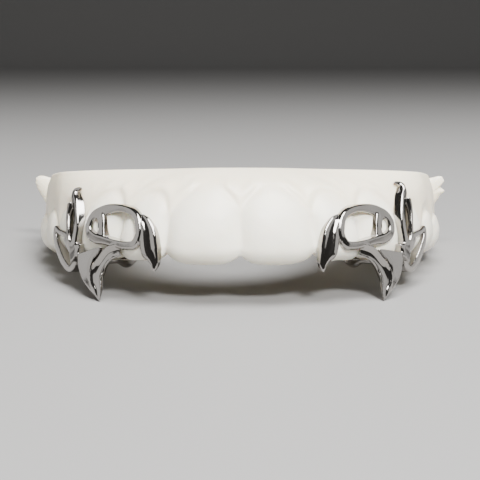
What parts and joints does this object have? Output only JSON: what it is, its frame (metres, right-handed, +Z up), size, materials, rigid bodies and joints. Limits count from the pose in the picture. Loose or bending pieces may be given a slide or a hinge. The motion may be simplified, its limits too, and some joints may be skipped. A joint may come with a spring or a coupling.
{
  "type": "pair of dental fang grills on a resin model of the upper teeth",
  "caption": "Two mirrored polished fang grills with pierced frames, slotted spires and side wings, seated on an off-white resin cast of an upper row of teeth.",
  "frame": {"origin": "centre of the footprint at floor level, under the two fang tips and the last molars", "axes": "+X to the wearer's left, across the row of teeth; -Y towards the front teeth; +Z up"},
  "size_m": [0.0584, 0.0484, 0.0143],
  "materials": {
    "resin": "satin off-white casting resin with fine grain",
    "metal": "mirror-polished dark silver"
  },
  "bodies": {
    "root": {"teeth_model": "resin", "grill_left": "metal", "grill_right": "metal"}
  },
  "joints": []
}
